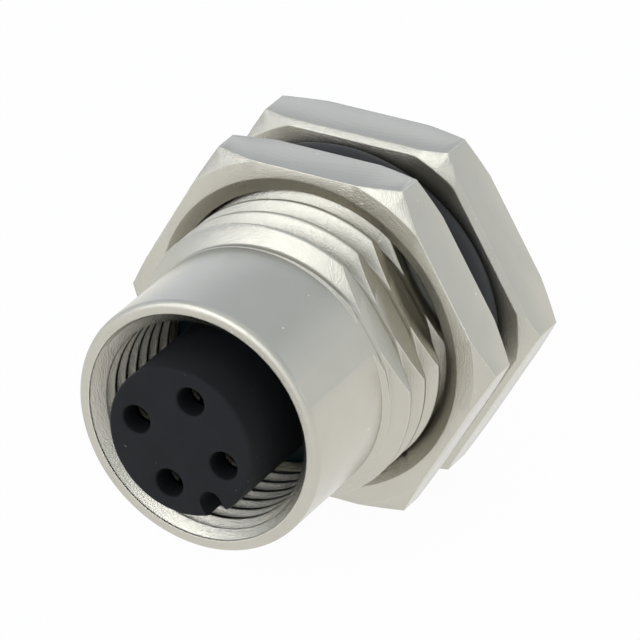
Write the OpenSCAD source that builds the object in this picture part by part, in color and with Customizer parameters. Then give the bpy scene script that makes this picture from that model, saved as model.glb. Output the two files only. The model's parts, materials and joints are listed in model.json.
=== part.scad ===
// Four-way female circular connector with an M12 coupling thread, for a panel.
// It is pushed through the panel from behind and held by a lock nut in front.
// Millimetres.  The axis runs along Y and the mating face looks towards -Y.
// The origin is on the axis, at the sealing face of the hex flange.
// Both threads are plain cylinders here: the coupling thread at its minor
// diameter, the panel thread at its major diameter.

/* [Coupling thread, inside the front] */
// Nominal diameter of the coupling thread
coupling_d = 12; // [10:0.5:16]
// Pitch of the coupling thread
coupling_pitch = 1; // [0.5:0.25:1.5]
// Depth from the rim to the shoulder the mating seal lies on
socket_depth = 7.9; // [5:0.1:12]
// Width of the entry chamfer, across its radius
mouth_chamfer_w = 0.65; // [0.2:0.05:0.9]
// Depth of the entry chamfer, along the axis
mouth_chamfer_depth = 0.6; // [0.2:0.05:1.5]
// Length of the relief groove between the thread and that shoulder
relief_len = 1.1; // [0.9:0.1:3]
// Depth of the relief groove below the thread's major diameter
relief_depth = 0.05; // [0:0.05:0.3]

/* [Shell] */
// Wall of the sleeve in front of the panel thread
sleeve_wall = 1.3; // [1.1:0.05:3]
// Length of that sleeve
sleeve_len = 6.4; // [5:0.1:15]
// Rounding of the rim's outer edge
rim_round = 0.35; // [0.1:0.05:0.4]
// Height of the panel thread over the sleeve
thread_height = 0.85; // [0.4:0.05:1.5]
// Length of the panel thread with its undercut
thread_len = 9.08; // [7.5:0.02:20]
// How far the milled flat bites into the sleeve
flat_bite = 0.05; // [0.05:0.05:0.3]
// Angle of the milled flat, up from +X
flat_angle = 30; // [0:0.5:60]
// Thickness of the shoulder between the socket and the rear bore
shoulder_t = 1.2; // [0.8:0.1:2]
// Wall between the milled flat and the rear bore
rear_wall = 0.75; // [0.6:0.05:1]
// Depth of the seal's undercut below the thread's crests
undercut_depth = 0.65; // [0.3:0.05:0.8]
// Thickness of the hex flange
flange_t = 2.85; // [2:0.05:6]
// Edge chamfer on the flange's front
flange_chamfer = 0.25; // [0.1:0.05:0.5]
// Length of the round collar behind the flange
collar_len = 1.2; // [1:0.1:4]
// Wall of that collar
collar_wall = 1.1; // [0.8:0.1:2]

/* [Lock nut] */
// Thickness of the nut
nut_t = 2.55; // [1.5:0.05:4]
// Metal between the panel thread's crests and a flat of either hexagon
hex_wall = 1.4; // [1.3:0.05:3]
// How far the 30 degree chamfers run along each hexagon's corners
corner_chamfer = 0.55; // [0.1:0.05:0.7]
// Gap between the nut and the panel seal
nut_to_seal = 0.36; // [0.3:0.02:0.8]
// Radial clearance of the nut over the panel thread's crests
nut_clearance = 0.05; // [0.02:0.01:0.1]
// Width of the nut's countersink, across its radius
countersink_w = 0.85; // [0.2:0.05:1]

/* [Contact carrier] */
// Diameter of the circle the contacts stand on
contact_circle_d = 5; // [5:0.1:7]
// How far the carrier's nose stands out of the rim
nose_proud = 1.64; // [0:0.02:3]
// Plastic between a contact's hole and the side of the nose
nose_wall = 0.5; // [0.4:0.05:1]
// Angle of the first contact, up from +X
first_contact_angle = -15; // [-30:1:0]
// Diameter of the entry hole in front of a contact
entry_d = 1.5; // [1.3:0.05:1.6]
// Thickness of the lip that holds a contact's front
lip_t = 1.2; // [0.6:0.1:2]
// How much wider the nose's foot is, which centres the mating seal
foot_step = 0.2; // [0.05:0.05:0.3]
// How far that foot starts in front of the mating seal
foot_lead = 0.1; // [0.05:0.05:0.5]
// Width of the key groove in the side of the nose
key_w = 1.24; // [0.8:0.02:1.3]
// Depth of the key groove, in from the side of the nose
key_depth = 1.27; // [0.8:0.01:1.5]
// Length of the key groove, back from the face
key_len = 7; // [4:0.1:8]
// Plastic between a contact's tail and the side of the rear boss
boss_wall = 1.2; // [0.8:0.1:1.2]
// How far the rear boss stands out of the shell
boss_proud = 0.5; // [0:0.1:3]
// Radial clearance of the foot in the shoulder, and of the body in the shell
carrier_clearance = 0.05; // [0.02:0.01:0.1]

/* [Contacts] */
// Diameter of the pin that plugs in
pin_d = 1; // [0.9:0.05:1.3]
// Radial clearance round that pin
pin_clearance = 0.02; // [0.01:0.01:0.04]
// Depth of the socket for the pin
pin_depth = 6.5; // [5:0.1:8]
// Wall of the split barrel
barrel_wall = 0.42; // [0.25:0.01:0.45]
// Radial clearance of the barrel in the carrier, for the tines to spring
barrel_clearance = 0.06; // [0.03:0.01:0.1]
// Width of the slots between the tines
tine_slot = 0.2; // [0.1:0.02:0.25]
// Length of those slots
tine_len = 4.6; // [3:0.1:5]
// Height of the collar that stops a contact in its hole
stop_height = 0.2; // [0.15:0.05:0.3]
// Length of that collar
stop_len = 1; // [0.6:0.1:2]
// Outer diameter of the solder cup
cup_d = 1.9; // [1.5:0.05:1.95]
// Bore of the solder cup
cup_bore = 1.24; // [0.8:0.02:1.3]
// Length of the solder cup behind the boss
cup_len = 3.4; // [2:0.1:5]

/* [Seals and ring] */
// Cord diameter of the panel seal
panel_cord = 1.78; // [1.5:0.01:2.6]
// How far the panel seal is pressed on to the shell
panel_squeeze = 0.04; // [0.02:0.01:0.1]
// Thickness of the mating seal
mating_seal_t = 0.8; // [0.5:0.05:1.2]
// Edge rounding of the mating seal
mating_seal_round = 0.25; // [0.1:0.05:0.25]
// Cord diameter of the seal round the carrier
carrier_cord = 1.1; // [0.9:0.05:1.3]
// How far that seal is pressed flat
carrier_squeeze = 0.15; // [0.1:0.01:0.2]
// Thickness of the ring that holds the carrier in
ring_t = 1; // [0.6:0.1:1.6]
// How far the ring lies below the shell's rear end
ring_inset = 0.4; // [0:0.1:0.6]

/* [Hidden] */
$fn = 96;
cut = 0.5;   // how far a cutting tool runs past what it cuts

// Radii, from the coupling thread outwards
coupling_r = coupling_d / 2 - 0.55 * coupling_pitch;
relief_r = coupling_d / 2 + relief_depth;
sleeve_r = coupling_r + sleeve_wall;
thread_r = sleeve_r + thread_height;
undercut_r = thread_r - undercut_depth;
flat_distance = sleeve_r - flat_bite;
hex_apothem = thread_r + hex_wall;
corner_r = hex_apothem / cos(30);
rear_bore_r = flat_distance - rear_wall;
collar_r = rear_bore_r + collar_wall;
nut_bore_r = thread_r + nut_clearance;
countersink_r = nut_bore_r + countersink_w;

// Levels along the axis, back from the rim
thread_z = -thread_len;
rim_z = thread_z - sleeve_len;
shoulder_z = rim_z + socket_depth;
relief_z = shoulder_z - relief_len;
body_z = shoulder_z + shoulder_t;
undercut_len = panel_cord + 0.3;
nut_z = -panel_cord - nut_to_seal - nut_t;
shell_end_z = flange_t + collar_len;
ring_z = shell_end_z - ring_inset - ring_t;

// Contacts and what holds them
pin_bore_r = pin_d / 2 + pin_clearance;
barrel_r = pin_bore_r + barrel_wall;
barrel_hole_r = barrel_r + barrel_clearance;
stop_r = barrel_hole_r + stop_height;
shank_r = barrel_r - 0.1;
contact_circle_r = contact_circle_d / 2;
nose_r = contact_circle_r + barrel_hole_r + nose_wall;
foot_r = nose_r + foot_step;
boss_r = contact_circle_r + stop_r + boss_wall;
body_r = rear_bore_r - carrier_clearance;
face_z = rim_z - nose_proud;
foot_z = shoulder_z - mating_seal_t - foot_lead;
contact_z = face_z + lip_t + 0.1;
stop_z = body_z + 0.5;
boss_z = shell_end_z + boss_proud;
cup_front_z = boss_z - 0.6;
cup_end_z = boss_z + cup_len;
key_angle = first_contact_angle - 45;

// Groove of the seal round the carrier
carrier_groove_r = rear_bore_r - carrier_cord + carrier_squeeze;
carrier_groove_z = body_z + 2;
carrier_groove_len = carrier_cord + 0.3;

// Points along an arc about [r, z], from one angle to the other
function arc(r, z, radius, from, to, steps = 6) =
    [for (i = [0:steps]) let (a = from + (to - from) * i / steps)
        [r + radius * cos(a), z + radius * sin(a)]];

// Lays a shape made about Z along the connector's axis, Z becoming +Y
module on_axis() {
    rotate([-90, 0, 0]) children();
}

// Puts a shape beside the axis, at an angle up from +X as the panel sees it
module at_angle(angle, distance) {
    rotate([0, 0, -angle]) translate([distance, 0, 0]) children();
}

// Hexagonal prism whose corners are chamfered at both ends
module turned_hexagon(length) {
    past = 0.1; // how far the turned shape runs past the corners
    outer = corner_r + past;
    end_r = corner_r - corner_chamfer / tan(30);
    rise = corner_chamfer + past * tan(30);
    intersection() {
        cylinder(h = length, r = corner_r, $fn = 6);
        rotate_extrude() polygon([
            [0, 0],
            [end_r, 0],
            [outer, rise],
            [outer, length - rise],
            [end_r, length],
            [0, length]]);
    }
}

// The turned outside of the shell in front of the flange
module shell_outside() {
    thread_end_chamfer = undercut_depth * tan(30);
    rotate_extrude() polygon(concat(
        [[0, rim_z]],
        arc(sleeve_r - rim_round, rim_z + rim_round, rim_round, -90, 0),
        [[sleeve_r, thread_z],
         [thread_r, thread_z + thread_height],
         [thread_r, -undercut_len - thread_end_chamfer],
         [undercut_r, -undercut_len],
         [undercut_r, cut],
         [0, cut]]));
}

// Flange, its front edges broken by one plane along each flat
module flange() {
    difference() {
        turned_hexagon(flange_t);
        for (side = [0:5])
            rotate([0, 0, 60 * side + 30])
                translate([hex_apothem - flange_chamfer, -corner_r, 0])
                    rotate([0, 45, 0])
                        translate([0, 0, -2 * flange_chamfer])
                            cube([2 * flange_chamfer, 2 * corner_r, 4 * flange_chamfer]);
    }
}

// Everything that is bored out of the shell
module shell_bores() {
    shoulder_bore_r = foot_r + carrier_clearance;
    relief_slope = (relief_r - coupling_r) * tan(30);
    rotate_extrude() polygon([
        [0, rim_z - cut],
        [coupling_r + mouth_chamfer_w, rim_z - cut],
        [coupling_r + mouth_chamfer_w, rim_z],
        [coupling_r, rim_z + mouth_chamfer_depth],
        [coupling_r, relief_z],
        [relief_r, relief_z + relief_slope],
        [relief_r, shoulder_z],
        [shoulder_bore_r, shoulder_z],
        [shoulder_bore_r, body_z],
        [rear_bore_r, body_z],
        [rear_bore_r, shell_end_z + cut],
        [0, shell_end_z + cut]]);
}

// The flat that keys the connector in its panel hole
module milled_flat() {
    at_angle(flat_angle, flat_distance)
        translate([0, -corner_r, rim_z - cut])
            cube([corner_r, 2 * corner_r, cut - rim_z - undercut_len]);
}

module shell() {
    color("lightgray") on_axis() difference() {
        union() {
            difference() {
                shell_outside();
                milled_flat();
            }
            flange();
            cylinder(h = shell_end_z, r = collar_r);
        }
        shell_bores();
    }
}

module lock_nut() {
    back_chamfer = 0.2;
    color("gainsboro") on_axis() translate([0, 0, nut_z]) difference() {
        turned_hexagon(nut_t);
        rotate_extrude() polygon([
            [0, -cut],
            [countersink_r, -cut],
            [countersink_r, 0],
            [nut_bore_r, countersink_w * tan(30)],
            [nut_bore_r, nut_t - back_chamfer],
            [nut_bore_r + back_chamfer, nut_t],
            [nut_bore_r + back_chamfer, nut_t + cut],
            [0, nut_t + cut]]);
    }
}

// O-ring in the undercut, pressed flat where it meets the shell
module panel_seal() {
    cord_r = panel_cord / 2;
    color("dimgray") on_axis() rotate_extrude() intersection() {
        translate([undercut_r + cord_r - panel_squeeze, panel_squeeze - cord_r])
            circle(r = cord_r, $fn = 48);
        translate([undercut_r, -panel_cord]) square([panel_cord, panel_cord]);
    }
}

// Flat ring on the foot of the nose, where the plug's front lands
module mating_seal() {
    inner = foot_r;
    outer = coupling_r - carrier_clearance;
    front = shoulder_z - mating_seal_t;
    round = mating_seal_round;
    color("darkslategray") on_axis() rotate_extrude() polygon(concat(
        arc(inner + round, front + round, round, 180, 270, 4),
        arc(outer - round, front + round, round, 270, 360, 4),
        [[outer, shoulder_z], [inner, shoulder_z]]));
}

// One contact's hole through the carrier: entry, barrel, then tail
module contact_hole() {
    entry_r = entry_d / 2;
    entry_chamfer = 0.1;
    rotate_extrude($fn = 48) polygon([
        [0, face_z - cut],
        [entry_r + entry_chamfer, face_z - cut],
        [entry_r + entry_chamfer, face_z],
        [entry_r, face_z + entry_chamfer],
        [entry_r, face_z + lip_t],
        [barrel_hole_r, face_z + lip_t],
        [barrel_hole_r, stop_z],
        [stop_r, stop_z],
        [stop_r, boss_z + cut],
        [0, boss_z + cut]]);
}

// Round-bottomed groove, open at the side of the nose
module key_groove() {
    key_r = key_w / 2;
    at_angle(key_angle, nose_r - key_depth + key_r)
        translate([0, 0, face_z - cut]) {
            cylinder(h = key_len + cut, r = key_r, $fn = 48);
            translate([0, -key_r, 0]) cube([key_depth, key_w, key_len + cut]);
        }
}

module carrier() {
    edge = 0.2;
    color("darkslategray") on_axis() difference() {
        rotate_extrude() polygon([
            [0, face_z],
            [nose_r - edge, face_z],
            [nose_r, face_z + edge],
            [nose_r, foot_z],
            [foot_r, foot_z],
            [foot_r, body_z],
            [body_r, body_z],
            [body_r, carrier_groove_z],
            [carrier_groove_r, carrier_groove_z],
            [carrier_groove_r, carrier_groove_z + carrier_groove_len],
            [body_r, carrier_groove_z + carrier_groove_len],
            [body_r, ring_z],
            [boss_r, ring_z],
            [boss_r, boss_z - edge],
            [boss_r - edge, boss_z],
            [0, boss_z]]);
        for (i = [0:3])
            at_angle(first_contact_angle + 90 * i, contact_circle_r) contact_hole();
        key_groove();
    }
}

// O-ring round the carrier, pressed between its groove and the shell
module carrier_seal() {
    depth = rear_bore_r - carrier_groove_r;
    color("black") on_axis() rotate_extrude() intersection() {
        translate([carrier_groove_r + depth / 2, carrier_groove_z + carrier_groove_len / 2])
            circle(r = carrier_cord / 2, $fn = 48);
        translate([carrier_groove_r, carrier_groove_z]) square([depth, carrier_groove_len]);
    }
}

// Ring pressed into the rear bore behind the carrier's body
module retaining_ring() {
    edge = 0.15;
    inner = boss_r + carrier_clearance;
    color("silver") on_axis() rotate_extrude() polygon([
        [inner, ring_z],
        [rear_bore_r, ring_z],
        [rear_bore_r, ring_z + ring_t - edge],
        [rear_bore_r - edge, ring_z + ring_t],
        [inner + edge, ring_z + ring_t],
        [inner, ring_z + ring_t - edge]]);
}

// Socket contact: split barrel in front, stop collar, shank and solder cup
module contact(number) {
    mouth = 0.12;
    cup_r = cup_d / 2;
    scoop_len = cup_len * 0.65;
    cup_bottom_z = cup_end_z - cup_len * 0.9;
    color("gold") on_axis()
        at_angle(first_contact_angle + 90 * (number - 1), contact_circle_r) difference() {
            rotate_extrude($fn = 48) polygon([
                [0, contact_z],
                [barrel_r - mouth, contact_z],
                [barrel_r, contact_z + mouth],
                [barrel_r, stop_z],
                [stop_r, stop_z],
                [stop_r, stop_z + stop_len],
                [shank_r, stop_z + stop_len],
                [shank_r, cup_front_z],
                [cup_r, cup_front_z],
                [cup_r, cup_end_z],
                [0, cup_end_z]]);
            rotate_extrude($fn = 48) polygon([
                [0, contact_z - cut],
                [pin_bore_r + mouth, contact_z - cut],
                [pin_bore_r + mouth, contact_z],
                [pin_bore_r, contact_z + mouth],
                [pin_bore_r, contact_z + pin_depth],
                [0, contact_z + pin_depth + pin_bore_r * tan(30)]]);
            translate([-barrel_r - cut, -tine_slot / 2, contact_z - cut])
                cube([2 * (barrel_r + cut), tine_slot, tine_len + cut]);
            translate([0, 0, cup_bottom_z])
                cylinder(h = cup_end_z - cup_bottom_z + cut, r = cup_bore / 2, $fn = 48);
            translate([0.1, -cup_d, cup_end_z - scoop_len])
                cube([cup_d, 2 * cup_d, scoop_len + cut]);
        }
}

shell();
lock_nut();
panel_seal();
mating_seal();
carrier();
carrier_seal();
retaining_ring();
contact(1);  // contact_1
contact(2);  // contact_2
contact(3);  // contact_3
contact(4);  // contact_4
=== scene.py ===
import json
import math

import bmesh
import bpy
from mathutils import Matrix, Vector


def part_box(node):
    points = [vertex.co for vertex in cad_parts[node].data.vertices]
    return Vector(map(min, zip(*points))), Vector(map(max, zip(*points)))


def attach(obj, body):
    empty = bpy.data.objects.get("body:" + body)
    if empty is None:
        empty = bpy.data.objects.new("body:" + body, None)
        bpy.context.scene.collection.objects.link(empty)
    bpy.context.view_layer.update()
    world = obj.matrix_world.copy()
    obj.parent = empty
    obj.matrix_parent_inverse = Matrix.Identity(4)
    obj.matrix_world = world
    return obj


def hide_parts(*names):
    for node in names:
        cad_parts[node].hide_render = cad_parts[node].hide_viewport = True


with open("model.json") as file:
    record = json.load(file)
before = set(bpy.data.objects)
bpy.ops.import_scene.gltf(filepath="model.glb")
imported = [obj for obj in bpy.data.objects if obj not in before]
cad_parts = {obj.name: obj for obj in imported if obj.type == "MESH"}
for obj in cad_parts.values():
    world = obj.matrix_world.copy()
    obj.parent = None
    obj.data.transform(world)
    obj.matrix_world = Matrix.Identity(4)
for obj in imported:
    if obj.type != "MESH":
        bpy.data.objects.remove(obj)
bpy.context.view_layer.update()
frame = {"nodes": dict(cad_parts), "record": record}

# Everything is modelled in millimetres and brought to metres at the end
millimetre = 0.001
slope = math.tan(math.radians(30))  # of the thread flanks and of the chamfers
mounts = {mount["name"]: mount for mount in frame["record"]["mounts"]}


def span(node):
    low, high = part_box(node)
    return low / millimetre, high / millimetre


shellLow, shellHigh = span("shell")
nutLow, nutHigh = span("lock_nut")
sealLow, sealHigh = span("panel_seal")
footLow, footHigh = span("mating_seal")
carrierLow, carrierHigh = span("carrier")
ringLow, _ = span("retaining_ring")
contactLow, contactHigh = span("contact_1")
hexApothem = -nutLow.z
cornerRadius = nutHigh.x
couplingR = mounts["coupling_thread"]["dims"]["r_mm"]
panelThreadR = mounts["panel_thread"]["dims"]["r_mm"]
noseR = mounts["insert_nose"]["dims"]["r_mm"]
pinBoreR = mounts["contact_socket_1"]["dims"]["r_mm"]
firstContact = Vector(mounts["contact_socket_1"]["pos_m"]) / millimetre
contactCircleR = math.hypot(firstContact.x, firstContact.z)
contactAngle = math.degrees(math.atan2(firstContact.z, firstContact.x))


class Wire:
    # an output socket, and arithmetic on it adds Math nodes to its tree
    def __init__(self, graph, socket):
        self.graph = graph
        self.socket = socket

    def maths(self, operation, *values, **settings):
        return self.graph.node("ShaderNodeMath", {"operation": operation, **settings},
                               dict(enumerate(values)))

    def __add__(self, other): return self.maths("ADD", self, other)
    def __radd__(self, other): return self.maths("ADD", other, self)
    def __sub__(self, other): return self.maths("SUBTRACT", self, other)
    def __rsub__(self, other): return self.maths("SUBTRACT", other, self)
    def __mul__(self, other): return self.maths("MULTIPLY", self, other)
    def __rmul__(self, other): return self.maths("MULTIPLY", other, self)
    def __truediv__(self, other): return self.maths("DIVIDE", self, other)
    def __rtruediv__(self, other): return self.maths("DIVIDE", other, self)

    def absolute(self):
        return self.maths("ABSOLUTE", self)

    def clamped(self):
        return self.maths("ADD", self, 0.0, use_clamp=True)

    def out(self, name):
        return Wire(self.graph, self.socket.node.outputs[name])


class Graph:
    def __init__(self, tree):
        self.tree = tree
        tree.nodes.clear()

    def node(self, kind, settings=None, values=None):
        new = self.tree.nodes.new(kind)
        for name, value in (settings or {}).items():
            if name == "stops":
                self.setStops(new.color_ramp, value)
            else:
                setattr(new, name, value)
        for name, value in (values or {}).items():
            self.feed(new.inputs[name], value)
        outputs = [socket for socket in new.outputs if socket.enabled]
        return Wire(self, outputs[0]) if outputs else None

    def feed(self, socket, value):
        if isinstance(value, Wire):
            self.tree.links.new(value.socket, socket)
        elif isinstance(value, tuple) and socket.type == "RGBA" and len(value) == 3:
            socket.default_value = (*value, 1.0)
        else:
            socket.default_value = value

    def setStops(self, ramp, stops):
        while len(ramp.elements) < len(stops):
            ramp.elements.new(1.0)
        for element, (position, colour) in zip(ramp.elements, stops):
            element.position = position
            element.color = (*colour, 1.0) if isinstance(colour, tuple) else (colour,) * 3 + (1.0,)

    def mixColour(self, factor, first, second, blend="MIX"):
        # a Mix node's colour sockets are inputs 6 and 7 and output 2
        mixed = self.node("ShaderNodeMix", {"data_type": "RGBA", "blend_type": blend},
                          {0: factor, 6: first, 7: second})
        return Wire(self, mixed.socket.node.outputs[2])


def material(name):
    made = bpy.data.materials.new(name)
    made.use_nodes = True
    return made, Graph(made.node_tree)


def finishMaterial(graph, values):
    shader = graph.node("ShaderNodeBsdfPrincipled", {}, values)
    graph.node("ShaderNodeOutputMaterial", {}, {"Surface": shader})


# scales are per metre, radii, heights and places in metres, the rest plain factors
plating = {"edgeRadius": 0.00009, "edgeGain": 14.0, "edgeBurr": 2.4, "edgeShine": 1.5,
           "grainScale": 12500.0, "endGrain": 2.5, "endRoughness": 0.06,
           "cloudScale": 420.0, "cloudRoughness": 0.08, "cloudShade": 0.9,
           "speckScale": 3300.0, "speckLevel": 0.79, "speckGain": 20.0, "brightShade": 1.5,
           "bumpHeight": 0.000042, "bumpStrength": 0.6, "arcCentre": (0.0, 0.0075, 0.0),
           "arcsPerMetre": 27000.0, "arcWander": 5.0, "arcHeight": 0.05}


def shaded(colour, factor):
    return tuple(min(0.95, factor * channel) for channel in colour)


def nickelPlate(name, tint, roughness, grain, flatRadius=None, paintedShadeTint=None):
    # satin plate: more grain on faces that look along the axis, burrs at edges, arcs on spanner flats, and
    # painted highlights on edges and in random specks
    made, graph = material(name)
    place = graph.node("ShaderNodeTexCoord").out("Object")
    faceNormal = graph.node("ShaderNodeNewGeometry").out("Normal")
    rounded = graph.node("ShaderNodeBevel", {"samples": 6}, {"Radius": plating["edgeRadius"]})
    agree = graph.node("ShaderNodeVectorMath", {"operation": "DOT_PRODUCT"}, {
        0: faceNormal, 1: rounded}).out("Value")
    edge = ((1.0 - agree) * plating["edgeGain"]).clamped()
    across = graph.node("ShaderNodeSeparateXYZ", {}, {"Vector": faceNormal}).out("Y")
    facing = (across.absolute() * 3.0 - 0.9).clamped()  # 1 where a face looks along the axis
    fine = graph.node("ShaderNodeTexNoise", {}, {
        "Vector": place, "Scale": plating["grainScale"], "Detail": 3.0, "Roughness": 0.65})
    cloud = graph.node("ShaderNodeTexNoise", {}, {
        "Vector": place, "Scale": plating["cloudScale"], "Detail": 3.0})
    height = fine * (grain + grain * plating["endGrain"] * facing + plating["edgeBurr"] * edge)
    if flatRadius:
        parts = graph.node("ShaderNodeSeparateXYZ", {}, {"Vector": place})
        x, z = parts.out("X"), parts.out("Z")
        square = x * x + z * z
        outside = (square.maths("SQRT", square) - flatRadius) * 20000.0  # full 0.05 mm further out
        side = (1.0 - 8.0 * across.absolute()).clamped()  # and on the sides only
        reach = graph.node("ShaderNodeVectorMath", {"operation": "DISTANCE"}, {
            0: place, 1: plating["arcCentre"]}).out("Value")
        phase = reach * plating["arcsPerMetre"] + plating["arcWander"] * cloud
        height = height + phase.maths("SINE", phase) * plating["arcHeight"] * outside.clamped() * side
    relief = graph.node("ShaderNodeBump", {}, {
        "Strength": plating["bumpStrength"], "Distance": plating["bumpHeight"], "Height": height,
        "Normal": rounded})
    # painted highlights: random specks and the edges are given a paler colour in place of glints
    spots = graph.node("ShaderNodeTexNoise", {}, {
        "Vector": place, "Scale": plating["speckScale"], "Detail": 1.0})
    glintSpeck = ((spots - plating["speckLevel"]) * plating["speckGain"]).clamped()
    worn = graph.mixColour(cloud, tint, shaded(tint, plating["cloudShade"]))
    paintedLightColour = graph.mixColour((glintSpeck + plating["edgeShine"] * edge * fine).clamped(), worn,
                             shaded(tint, plating["brightShade"]))
    if paintedShadeTint:
        # painted shade: darker in front of the flange, where the tines sit deep in their holes out of the
        # light
        depth = graph.node("ShaderNodeSeparateXYZ", {}, {"Vector": place}).out("Y")
        paintedLightColour = graph.mixColour((depth * 500.0 + 1.0).clamped(), paintedShadeTint, paintedLightColour)  # over 2 mm
    finishMaterial(graph, {"Base Color": paintedLightColour, "Metallic": 1.0, "Normal": relief,
                           "Roughness": roughness + plating["cloudRoughness"] * (cloud - 0.5)
                           + plating["endRoughness"] * facing})
    return made


moulding = {"cloudScale": 600.0, "cloudShade": 1.5, "dustScale": 3600.0, "dustLevel": 0.79,
            "dustGain": 12.0, "dustCover": 0.5, "dustColour": (0.35, 0.35, 0.34),
            "bumpHeight": 0.00003, "grainRoughness": 0.1}


def plainPlastic(name, colour, roughness, shine, grain, scale):
    # matt moulding or rubber, with grain, cloudy colour and a little light dust
    made, graph = material(name)
    place = graph.node("ShaderNodeTexCoord").out("Object")
    fine = graph.node("ShaderNodeTexNoise", {}, {"Vector": place, "Scale": scale, "Detail": 3.0})
    cloud = graph.node("ShaderNodeTexNoise", {}, {
        "Vector": place, "Scale": moulding["cloudScale"], "Detail": 2.0})
    spots = graph.node("ShaderNodeTexNoise", {}, {
        "Vector": place, "Scale": moulding["dustScale"], "Detail": 1.0})
    dust = ((spots - moulding["dustLevel"]) * moulding["dustGain"]).clamped()
    relief = graph.node("ShaderNodeBump", {}, {
        "Strength": grain, "Distance": moulding["bumpHeight"], "Height": fine})
    shade = graph.mixColour(cloud, colour, shaded(colour, moulding["cloudShade"]))
    dusty = graph.mixColour(dust * moulding["dustCover"], shade, moulding["dustColour"])
    finishMaterial(graph, {"Base Color": dusty, "Specular IOR Level": shine, "Normal": relief,
                           "Roughness": roughness + moulding["grainRoughness"] * (fine - 0.5)})
    return made


nickel = (0.575, 0.553, 0.484)
flatRadius = (hexApothem - 0.03) * millimetre  # the spanner flats lie outside this
shellPlate = nickelPlate("shellPlate", nickel, 0.2, 0.34, flatRadius)
nutPlate = nickelPlate("nutPlate", nickel, 0.2, 0.36, flatRadius)
carrierPlastic = plainPlastic("carrierPlastic", (0.008, 0.0085, 0.010), 0.66, 0.16, 0.35, 6000.0)
sealRubber = plainPlastic("sealRubber", (0.012, 0.013, 0.014), 0.5, 0.4, 0.2, 4000.0)
footRubber = plainPlastic("footRubber", (0.002, 0.018, 0.021), 0.4, 0.4, 0.2, 4000.0)
# the contacts' dark front tint is painted shade for the part that sits deep in the carrier's holes
contactGold = nickelPlate("contactGold", (0.60, 0.50, 0.31), 0.28, 0.1, paintedShadeTint=(0.045, 0.04, 0.033))
ringSteel = nickelPlate("ringSteel", (0.50, 0.49, 0.47), 0.3, 0.2)
print("finishes made")


def addObject(name, data):
    thing = bpy.data.objects.new(name, data)
    bpy.context.collection.objects.link(thing)
    return thing


def finishShape(name, shape):
    bmesh.ops.recalc_face_normals(shape, faces=shape.faces)
    mesh = bpy.data.meshes.new(name)
    shape.to_mesh(mesh)
    shape.free()
    return addObject(name, mesh)


def arc(radius, y, size, start, end, steps=5):
    # points of (radius, y) on an arc about a centre, 0 degrees being outwards and 90 rearwards
    angles = [math.radians(start + (end - start) * i / steps) for i in range(steps + 1)]
    return [(radius + size * math.cos(a), y + size * math.sin(a)) for a in angles]


def turned(name, outline, around=240):
    # a closed outline of (radius, y) points, turned about the connector's axis
    shape = bmesh.new()
    rings = []
    for radius, y in outline:
        count = around if radius > 1e-6 else 1
        turns = [2 * math.pi * i / around for i in range(count)]
        rings.append([shape.verts.new((radius * math.cos(a), y, radius * math.sin(a))) for a in turns])
    for ring, following in zip(rings, rings[1:] + rings[:1]):
        if len(ring) == len(following) == 1:
            continue
        for i in range(around):
            j = (i + 1) % around
            corners = [ring[i % len(ring)], ring[j % len(ring)],
                       following[j % len(following)], following[i % len(following)]]
            shape.faces.new(list(dict.fromkeys(corners)))
    return finishShape(name, shape)


def plainRod(name, radius, startY, endY, around=240):
    return turned(name, [(0, startY), (radius, startY), (radius, endY), (0, endY)], around)


def block(name, size, centre):
    shape = bmesh.new()
    bmesh.ops.create_cube(shape, size=1.0)
    bmesh.ops.scale(shape, vec=size, verts=shape.verts)
    bmesh.ops.translate(shape, vec=centre, verts=shape.verts)
    return finishShape(name, shape)


def hexSleeve(name, levels, outside):
    # a thick hexagonal tube round the axis; levels are (apothem, y), and it is cut away from a blank
    shape = bmesh.new()
    loops = []
    for apothem, y in levels + [(outside, levels[-1][1]), (outside, levels[0][1])]:
        reach = apothem / math.cos(math.radians(30))
        turns = [math.radians(60 * i) for i in range(6)]
        loops.append([shape.verts.new((reach * math.cos(a), y, reach * math.sin(a))) for a in turns])
    for loop, following in zip(loops, loops[1:] + loops[:1]):
        for i in range(6):
            j = (i + 1) % 6
            shape.faces.new([loop[i], loop[j], following[j], following[i]])
    return finishShape(name, shape)


def keepResult(thing):
    # what the modifiers make becomes the object's own mesh
    bpy.context.view_layer.update()
    evaluated = thing.evaluated_get(bpy.context.evaluated_depsgraph_get())
    mesh = bpy.data.meshes.new_from_object(evaluated)
    thing.modifiers.clear()
    thing.data = mesh


def carve(target, tool, operation="DIFFERENCE"):
    step = target.modifiers.new("step", "BOOLEAN")
    step.operation = operation
    step.solver = "MANIFOLD"
    step.object = tool
    keepResult(target)
    bpy.data.objects.remove(tool)


def softenEdges(thing, width):
    bevel = thing.modifiers.new("bevel", "BEVEL")
    bevel.width = width
    bevel.segments = 2
    bevel.limit_method = "ANGLE"
    bevel.angle_limit = math.radians(18)  # below the 30 degrees of the chamfers
    keepResult(thing)


def settle(thing, name, finish, body, nodes, sharpAngle=28):
    # to metres, smooth up to the sharp angle, one finish, and on to its body
    thing.data.transform(Matrix.Scale(millimetre, 4))
    thing.name = name
    thing.data.materials.clear()
    thing.data.materials.append(finish)
    for face in thing.data.polygons:
        face.material_index = 0
    thing.data.shade_smooth()
    thing.data.set_sharp_from_angle(angle=math.radians(sharpAngle))
    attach(thing, body)
    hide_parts(*nodes)
    print(name, len(thing.data.polygons), "faces")


def newTree(name, inputs):
    tree = bpy.data.node_groups.new(name, "GeometryNodeTree")
    graph = Graph(tree)
    tree.interface.new_socket("Geometry", in_out="OUTPUT", socket_type="NodeSocketGeometry")
    for label, kind in inputs:
        tree.interface.new_socket(label, in_out="INPUT", socket_type="NodeSocket" + kind)
    given = tree.nodes.new("NodeGroupInput")
    sockets = {label: Wire(graph, given.outputs[label]) for label, kind in inputs}
    return tree, graph, sockets


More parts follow.
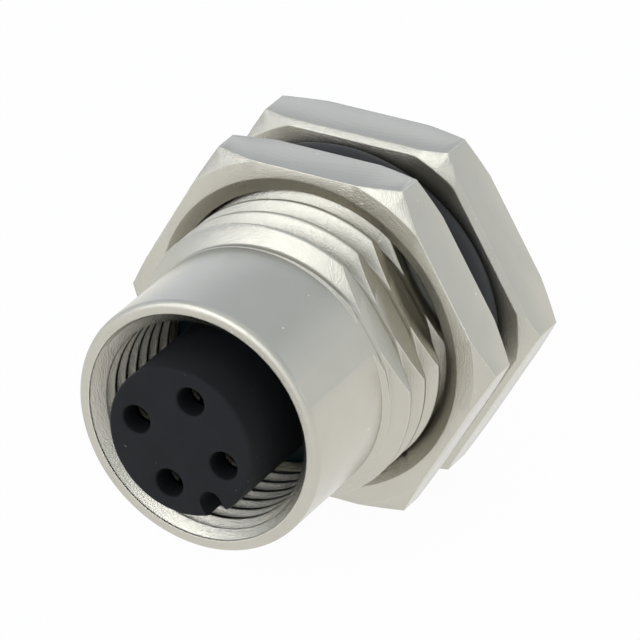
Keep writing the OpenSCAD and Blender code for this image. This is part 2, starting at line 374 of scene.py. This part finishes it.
def closeTree(graph, geometry, finish):
    real = graph.node("GeometryNodeRealizeInstances", {}, {"Geometry": geometry})
    painted = graph.node("GeometryNodeSetMaterial", {}, {"Geometry": real, "Material": finish})
    graph.node("NodeGroupOutput", {}, {"Geometry": painted})


def runTree(tree, name, values):
    # a new object made by the tree alone, with its inputs set by identifier
    thing = addObject(name, bpy.data.meshes.new(name))
    made = thing.modifiers.new("made", "NODES")
    made.node_group = tree
    for item in tree.interface.items_tree:
        if item.in_out == "INPUT" and item.name in values:
            made[item.identifier] = values[item.name]
    keepResult(thing)
    return thing


def aroundTree():
    # copies of one shape on a circle about Y, each turned with its place
    tree, graph, given = newTree("aroundAxis", [
        ("Shape", "Object"), ("Count", "Int"), ("Radius", "Float"), ("First Angle", "Float"),
        ("Material", "Material")])
    shape = graph.node("GeometryNodeObjectInfo", {"transform_space": "ORIGINAL"},
                       {"Object": given["Shape"], "As Instance": True}).out("Geometry")
    points = graph.node("GeometryNodeMeshLine", {}, {"Count": given["Count"], "Offset": (0.0, 0.0, 0.0)})
    step = 2 * math.pi / given["Count"]
    angle = given["First Angle"] + step * graph.node("GeometryNodeInputIndex")
    place = graph.node("ShaderNodeCombineXYZ", {}, {
        "X": given["Radius"] * angle.maths("COSINE", angle),
        "Z": given["Radius"] * angle.maths("SINE", angle)})
    placed = graph.node("GeometryNodeSetPosition", {}, {"Geometry": points, "Position": place})
    turn = graph.node("ShaderNodeCombineXYZ", {}, {"Y": 0.0 - angle})
    copies = graph.node("GeometryNodeInstanceOnPoints", {}, {
        "Points": placed, "Instance": shape, "Rotation": turn})
    closeTree(graph, copies, given["Material"])
    return tree


aroundAxis = aroundTree()


def threadRidge(thread):
    # one pitch of the profile as (axial place from the ridge's middle, radius), its corners rounded
    inner, outer = thread["innerR"], thread["outerR"]
    innerRound, outerRound = thread["innerRound"], thread["outerRound"]
    half = thread["outerWidth"] / 2
    foot = half + (outer - inner) * slope
    # each flank meets its flat at 60 degrees, so an arc starts slope times its radius from the corner
    left = []
    for step in range(5):
        turn = math.radians(15 * step)
        left.append((innerRound * (math.sin(turn) - slope) - foot,
                     inner + innerRound * (1 - math.cos(turn))))
    for step in range(5):
        turn = math.radians(60 - 15 * step)
        left.append((outerRound * (slope - math.sin(turn)) - half,
                     outer - outerRound * (1 - math.cos(turn))))
    return left + [(-place, radius) for place, radius in reversed(left)]


def threadRod(name, thread, startY, endY, around=240):
    # a rod with a right-hand thread, each row of its mesh running along the helix
    ridge = threadRidge(thread)
    pitch = thread["pitch"]
    turns = math.ceil((endY - startY) / pitch) + 2
    firstY = thread["ridgeY"] + pitch * math.floor((startY - thread["ridgeY"]) / pitch)
    shape = bmesh.new()
    rows = []
    for turn in range(turns + 1):
        for place, radius in ridge:
            row = []
            for j in range(around):
                angle = math.radians(thread["ridgeAngle"]) + 2 * math.pi * j / around
                y = firstY + pitch * (turn - j / around) + place
                row.append(shape.verts.new((radius * math.cos(angle), y, radius * math.sin(angle))))
            rows.append(row)
    perTurn = len(ridge)
    for k, (row, following) in enumerate(zip(rows, rows[1:])):
        for j in range(around - 1):
            shape.faces.new([row[j], row[j + 1], following[j + 1], following[j]])
        if k >= perTurn:
            shape.faces.new([row[-1], rows[k - perTurn][0], rows[k - perTurn + 1][0], following[-1]])
    front = rows[0] + [row[-1] for row in rows[1:perTurn + 1]] + [rows[0][0]]
    back = rows[-1] + [row[0] for row in rows[-1 - perTurn:]]
    for loop in (front, back):
        middle = sum(vert.co.y for vert in loop) / len(loop)
        centre = shape.verts.new((0, middle, 0))
        for first, second in zip(loop, loop[1:]):
            shape.faces.new([centre, first, second])
    return finishShape(name, shape)


def cutOuterThread(target, thread, startY, endY):
    space = plainRod("space", 2 * thread["outerR"], startY, endY)
    carve(space, threadRod("rod", thread, startY - 1, endY + 1))
    carve(target, space)


def cutInnerThread(target, thread, startY, endY):
    rod = threadRod("rod", thread, startY - 1, endY + 1)
    carve(rod, plainRod("stretch", 2 * thread["outerR"], startY, endY), "INTERSECT")
    carve(target, rod)


# lengths in mm; what meets another piece is read from the frame instead
shell = {
    "sleeveR": 6.75, "rimRound": 0.35, "threadY": -9.08, "undercutR": 6.95, "undercutLength": 2.08,
    "collarR": 7.05, "collarLength": 1.2, "collarEdge": 0.1, "flangeChamfer": 0.25, "bevel": 0.08,
    "rearBoreR": 5.95, "shoulder": 1.2, "shoulderBoreR": 4.25, "mouthWidth": 0.65, "mouthDepth": 0.6,
    "mouthStep": 0.1, "reliefR": 6.05, "reliefLength": 1.1, "reliefSlope": 0.35, "flatDistance": 6.7,
    "flatAngle": 30,
}
panelThread = {"innerR": 6.77, "outerR": panelThreadR, "pitch": 1.48, "outerWidth": 0.2,
               "innerRound": 0.08, "outerRound": 0.07, "ridgeY": -8.15, "ridgeAngle": 90}
couplingThread = {"innerR": couplingR, "outerR": 6.0, "pitch": 1.0, "outerWidth": 0.14,
                  "innerRound": 0.06, "outerRound": 0.05, "ridgeY": -14.43, "ridgeAngle": 170}
cornerChamfer = 0.55
over = 0.02  # metal left standing over a crest, for the thread's cutter to take off


def chamferedDisc(name, front, back):
    # the blank of a hexagon, whose 30 degree chamfers reach its corners only
    past = 0.5
    endR = cornerRadius - cornerChamfer / slope
    rise = cornerChamfer + past * slope
    return turned(name, [(0, front), (endR, front), (cornerRadius + past, front + rise),
                         (cornerRadius + past, back - rise), (endR, back), (0, back)])


def makeFlange():
    size = shell
    thickness = shellHigh.y - size["collarLength"]
    disc = chamferedDisc("flange", 0, thickness)
    chamfer = size["flangeChamfer"]
    carve(disc, hexSleeve("hexCut", [(hexApothem - chamfer - 1, -1), (hexApothem, chamfer),
                                     (hexApothem, thickness + 1)], 2 * cornerRadius))
    softenEdges(disc, size["bevel"])
    return disc


def makeShell():
    size = shell
    rimY, rearY = shellLow.y, shellHigh.y
    rimRound = size["rimRound"]
    rise = panelThreadR - size["sleeveR"]
    run = (panelThreadR - size["undercutR"]) * slope
    undercutY = -size["undercutLength"]
    inFlange = 0.5  # the radius changes out of sight, inside the flange
    body = turned("shellBody", [
        (0, rimY), *arc(size["sleeveR"] - rimRound, rimY + rimRound, rimRound, -90, 0, 8),
        (size["sleeveR"], size["threadY"]), (panelThreadR + over, size["threadY"] + rise + over),
        (panelThreadR + over, undercutY - run), (size["undercutR"], undercutY),
        (size["undercutR"], inFlange), (size["collarR"], inFlange),
        (size["collarR"], rearY - size["collarEdge"]),
        (size["collarR"] - size["collarEdge"], rearY), (0, rearY)])
    carve(body, makeFlange(), "UNION")
    cutOuterThread(body, panelThread, size["threadY"] - 0.5, undercutY + 0.1)
    # the milled flat runs from the rim to the undercut
    reach = 4 * cornerRadius
    flat = block("flatTool", (reach, -rimY + undercutY + 1, reach),
                 (size["flatDistance"] + reach / 2, (rimY - 1 + undercutY) / 2, 0))
    flat.data.transform(Matrix.Rotation(math.radians(-size["flatAngle"]), 4, "Y"))
    carve(body, flat)
    # the bore, from the mouth back over the thread's relief groove and the shoulder to the rear
    shoulderY = footHigh.y
    bodyY = shoulderY + size["shoulder"]
    reliefY = shoulderY - size["reliefLength"]
    minorR = couplingR - over
    bore = turned("bore", [
        (0, rimY - 1), (couplingR + size["mouthWidth"], rimY - 1),
        (couplingR + size["mouthWidth"], rimY + size["mouthStep"]), (minorR, rimY + size["mouthDepth"]),
        (minorR, reliefY), (size["reliefR"], reliefY + size["reliefSlope"]), (size["reliefR"], shoulderY),
        (size["shoulderBoreR"], shoulderY), (size["shoulderBoreR"], bodyY),
        (size["rearBoreR"], bodyY), (size["rearBoreR"], rearY + 1), (0, rearY + 1)])
    carve(body, bore)
    cutInnerThread(body, couplingThread, rimY - 0.5, reliefY + 0.6)
    settle(body, "turnedShell", shellPlate, "receptacle", ["shell"])


makeShell()


nut = {"bevel": 0.08, "countersinkR": 8.5, "boreR": 7.65, "backChamfer": 0.2}
nutThread = {"innerR": nut["boreR"], "outerR": 8.1, "pitch": panelThread["pitch"], "outerWidth": 0.3,
             "innerRound": 0.08, "outerRound": 0.08, "ridgeY": panelThread["ridgeY"], "ridgeAngle": 90}


def makeNut():
    size = nut
    front, back = nutLow.y, nutHigh.y
    body = chamferedDisc("nutBody", front, back)
    carve(body, hexSleeve("hexCut", [(hexApothem, front - 1), (hexApothem, back + 1)], 2 * cornerRadius))
    softenEdges(body, size["bevel"])
    sink = (size["countersinkR"] - size["boreR"]) * slope
    minorR = size["boreR"] - over
    chamfer = size["backChamfer"]
    bore = turned("nutBore", [
        (0, front - 1), (size["countersinkR"], front - 1), (size["countersinkR"], front),
        (minorR, front + sink), (minorR, back - chamfer), (minorR + chamfer, back),
        (minorR + chamfer, back + 1), (0, back + 1)])
    carve(body, bore)
    cutInnerThread(body, nutThread, front - 0.5, back + 0.5)
    settle(body, "lockNut", nutPlate, "nut", ["lock_nut"])


makeNut()


carrier = {"edge": 0.2, "entryR": 0.75, "lip": 1.2, "holeR": 1.0, "tailHoleR": 1.2, "entryChamfer": 0.12,
           "keyR": 0.62, "keyDepth": 1.27, "keyLength": 7.0, "keyAngle": -60, "footR": 4.2, "footLead": 0.1,
           "bodyR": 5.9, "bossR": 4.9, "bossEdge": 0.2, "stopDepth": 0.5, "grooveR": 5.0,
           "grooveY": -4.38, "grooveLength": 1.4}


def makeCarrier():
    size = carrier
    face, rear = carrierLow.y, carrierHigh.y
    footY = footLow.y - size["footLead"]
    bodyY = footHigh.y + shell["shoulder"]
    body = turned("carrierBody", [
        (0, face), *arc(noseR - size["edge"], face + size["edge"], size["edge"], -90, 0, 4),
        (noseR, footY), (size["footR"], footY), (size["footR"], bodyY),
        (size["bodyR"], bodyY), (size["bodyR"], size["grooveY"]),
        (size["grooveR"], size["grooveY"]), (size["grooveR"], size["grooveY"] + size["grooveLength"]),
        (size["bodyR"], size["grooveY"] + size["grooveLength"]), (size["bodyR"], ringLow.y),
        (size["bossR"], ringLow.y), (size["bossR"], rear - size["bossEdge"]),
        (size["bossR"] - size["bossEdge"], rear), (0, rear)],
        around=180)
    # each hole has a lip in front and is wider from the contact's stop to the rear
    chamfer = size["entryChamfer"]
    stopY = bodyY + size["stopDepth"]
    hole = turned("hole", [
        (0, face - 1), (size["entryR"] + chamfer, face - 1), (size["entryR"] + chamfer, face),
        *arc(size["entryR"] + chamfer, face + chamfer, chamfer, 270, 180, 4),
        (size["entryR"], face + size["lip"]), (size["holeR"], face + size["lip"]), (size["holeR"], stopY),
        (size["tailHoleR"], stopY), (size["tailHoleR"], rear + 1), (0, rear + 1)], around=64)
    holes = runTree(aroundAxis, "holes", {
        "Shape": hole, "Count": 4, "Radius": contactCircleR, "First Angle": math.radians(contactAngle),
        "Material": carrierPlastic})
    bpy.data.objects.remove(hole)
    carve(body, holes)
    # the key groove has a round bottom and is open at the insert's side
    keyR = size["keyR"]
    key = plainRod("key", keyR, face - 1, face + size["keyLength"], around=48)
    carve(key, block("keySlot", (2, size["keyLength"] + 1, 2 * keyR),
                     (1, face + size["keyLength"] / 2 - 0.5, 0)), "UNION")
    key.data.transform(Matrix.Rotation(math.radians(-size["keyAngle"]), 4, "Y")
                       @ Matrix.Translation((noseR - size["keyDepth"] + keyR, 0, 0)))
    carve(body, key)
    settle(body, "contactCarrier", carrierPlastic, "receptacle", ["carrier"])


makeCarrier()


contact = {"barrelR": 0.94, "mouth": 0.12, "stopR": 1.2, "stopLength": 1.0, "shankR": 0.84,
           "pinDepth": 6.5, "slot": 0.2, "slotLength": 4.6, "cupR": 0.95, "cupBoreR": 0.62,
           "cupInside": 0.6, "cupDepthShare": 0.9, "scoopShare": 0.65, "scoopOffset": 1.1}


def makeContacts():
    size = contact
    front, rear = contactLow.y, contactHigh.y
    stopY = footHigh.y + shell["shoulder"] + carrier["stopDepth"]
    cupY = carrierHigh.y - size["cupInside"]
    mouth = size["mouth"]
    body = turned("contactBody", [
        (0, front), (size["barrelR"] - mouth, front), (size["barrelR"], front + mouth),
        (size["barrelR"], stopY), (size["stopR"], stopY), (size["stopR"], stopY + size["stopLength"]),
        (size["shankR"], stopY + size["stopLength"]), (size["shankR"], cupY), (size["cupR"], cupY),
        (size["cupR"], rear), (0, rear)], around=48)
    bottom = front + size["pinDepth"]
    pinBore = turned("pinBore", [
        (0, front - 1), (pinBoreR + mouth + 1, front - 1), (pinBoreR + mouth, front),
        (pinBoreR, front + mouth), (pinBoreR, bottom), (0, bottom + 0.3)], around=48)
    carve(body, pinBore)
    carve(body, block("tineSlot", (4, size["slotLength"] + 1, size["slot"]),
                      (0, front + size["slotLength"] / 2 - 0.5, 0)))
    # the solder cup behind the carrier, with its outer side scooped away
    cupLength = rear - carrierHigh.y
    cupBottom = rear - size["cupDepthShare"] * cupLength
    carve(body, turned("cupBore", [(0, cupBottom - 0.2), (size["cupBoreR"], cupBottom),
                                   (size["cupBoreR"], rear + 1), (0, rear + 1)], around=48))
    scoop = size["scoopShare"] * cupLength
    carve(body, block("scoop", (2, scoop + 1, 4), (size["scoopOffset"], rear - scoop + (scoop + 1) / 2, 0)))
    ring = runTree(aroundAxis, "contacts", {
        "Shape": body, "Count": 4, "Radius": contactCircleR, "First Angle": math.radians(contactAngle),
        "Material": contactGold})
    bpy.data.objects.remove(body)
    settle(ring, "socketContacts", contactGold, "receptacle",
           ["contact_1", "contact_2", "contact_3", "contact_4"])


makeContacts()


seals = {"footCorner": 0.25, "cordSides": 32}


def makeSeals():
    cordR = (sealHigh.y - sealLow.y) / 2
    sealCentreR = sealHigh.x - cordR
    sides = seals["cordSides"]
    cord = turned("panelORing", arc(sealCentreR, sealLow.y + cordR, cordR, 0, 360 - 360 / sides, sides - 1))
    settle(cord, "panelORing", sealRubber, "receptacle", ["panel_seal"], 60)
    inner, outer = carrier["footR"], footHigh.x
    corner = seals["footCorner"]
    front = footLow.y
    foot = turned("footSeal", [
        *arc(inner + corner, front + corner, corner, 180, 270),
        *arc(outer - corner, front + corner, corner, 270, 360),
        (outer, footHigh.y), (inner, footHigh.y)])
    settle(foot, "footSeal", footRubber, "receptacle", ["mating_seal"], 40)


makeSeals()
for node, finish in (("carrier_seal", sealRubber), ("retaining_ring", ringSteel)):
    mesh = frame["nodes"][node].data
    mesh.materials.clear()
    mesh.materials.append(finish)
print("pieces made")


# the lamp and its distance are in metres, the floor's gap and the camera's distances in mm
studio = {"floorWhite": 0.97, "floorColour": (0.8, 0.8, 0.79), "floorGap": 0.5,
          "lampAzimuth": -18, "lampElevation": 28, "lampSize": 0.2, "lampPower": 0.34,
          "lampDistance": 0.3}
# the sky from straight down (0) to straight up (1)
sky = [(0.0, 0.6), (0.5, (0.85, 0.89, 0.94)), (0.73, (0.80, 0.84, 0.91)),
       (0.83, (0.59, 0.64, 0.71)), (1.0, (0.87, 0.89, 0.92))]
skySides = (1.0, 1.0, 0.98), (1.02, 1.04, 1.06)  # multiplied in, right and left
# right and up move what the camera looks at
view = {"azimuth": 29.77, "elevation": 29.12, "distance": 300.0, "lens": 341.13,
        "target": (0, -7.18, 0), "right": 1.905, "up": 1.75, "turn": 0.7}


def makeStage():
    made, graph = material("paper")
    paths = graph.node("ShaderNodeLightPath")
    # white to the rays that show it, with a faint shadow, and plain paper to the rest
    seen = graph.node("ShaderNodeEmission", {}, {"Color": (1.0, 1.0, 1.0), "Strength": 1.0})
    plain = graph.node("ShaderNodeBsdfDiffuse", {}, {"Color": studio["floorColour"]})
    straight = paths.out("Is Camera Ray") + paths.out("Is Glossy Ray") + paths.out("Is Transmission Ray")
    mixed = graph.node("ShaderNodeMixShader", {}, {
        0: studio["floorWhite"] * straight.clamped(), 1: plain, 2: seen})
    graph.node("ShaderNodeOutputMaterial", {}, {"Surface": mixed})
    floor = block("paper", (3000, 3000, 1), (0, 0, nutLow.z - studio["floorGap"]))
    floor.data.transform(Matrix.Scale(millimetre, 4))
    floor.data.materials.append(made)


def makeWorld():
    world = bpy.data.worlds.new("studio")
    bpy.context.scene.world = world
    world.use_nodes = True
    graph = Graph(world.node_tree)
    direction = graph.node("ShaderNodeTexCoord").out("Generated")
    parts = graph.node("ShaderNodeSeparateXYZ", {}, {"Vector": direction})
    height, side = parts.out("Z"), parts.out("X")
    ramp = graph.node("ShaderNodeValToRGB", {"stops": sky}, {"Fac": (height + 1.0) * 0.5})
    sides = graph.mixColour((0.5 - 0.9 * side).clamped(), *skySides)
    tinted = graph.mixColour(1.0, ramp, sides, "MULTIPLY")
    light = graph.node("ShaderNodeBackground", {}, {"Color": tinted, "Strength": 1.0})
    graph.node("ShaderNodeOutputWorld", {}, {"Surface": light})


def towards(azimuth, elevation):
    # azimuth 0 looks at the mating face, and grows towards +X
    a, e = math.radians(azimuth), math.radians(elevation)
    return Vector((math.sin(a) * math.cos(e), -math.cos(a) * math.cos(e), math.sin(e)))


def makeLamp():
    lamp = bpy.data.lights.new("key", "AREA")
    lamp.size = studio["lampSize"]
    lamp.energy = studio["lampPower"]
    thing = addObject("key", lamp)
    away = towards(studio["lampAzimuth"], studio["lampElevation"])
    thing.location = away * studio["lampDistance"]
    thing.rotation_euler = away.to_track_quat("Z", "Y").to_euler()


def makeCamera():
    lens = bpy.data.cameras.new("camera")
    thing = addObject("camera", lens)
    back = towards(view["azimuth"], view["elevation"])
    right = towards(view["azimuth"] + 90, 0)
    up = back.cross(right)
    offset = back * view["distance"]
    aim = right * view["right"] + up * view["up"]
    # the connector is turned a little about its own axis, so the camera goes round it the other way
    turn = Matrix.Rotation(math.radians(view["turn"]), 4, "Y")
    facing = turn @ (offset - aim).to_track_quat("Z", "Y").to_matrix().to_4x4()
    facing.translation = (Vector(view["target"]) + turn @ offset) * millimetre
    thing.matrix_world = facing
    lens.lens = view["lens"]
    lens.clip_start = 0.01
    lens.clip_end = 10.0
    bpy.context.scene.camera = thing


makeStage()
makeWorld()
makeLamp()
makeCamera()
bpy.context.scene.view_settings.view_transform = "Standard"
print("stage, light and camera ready")
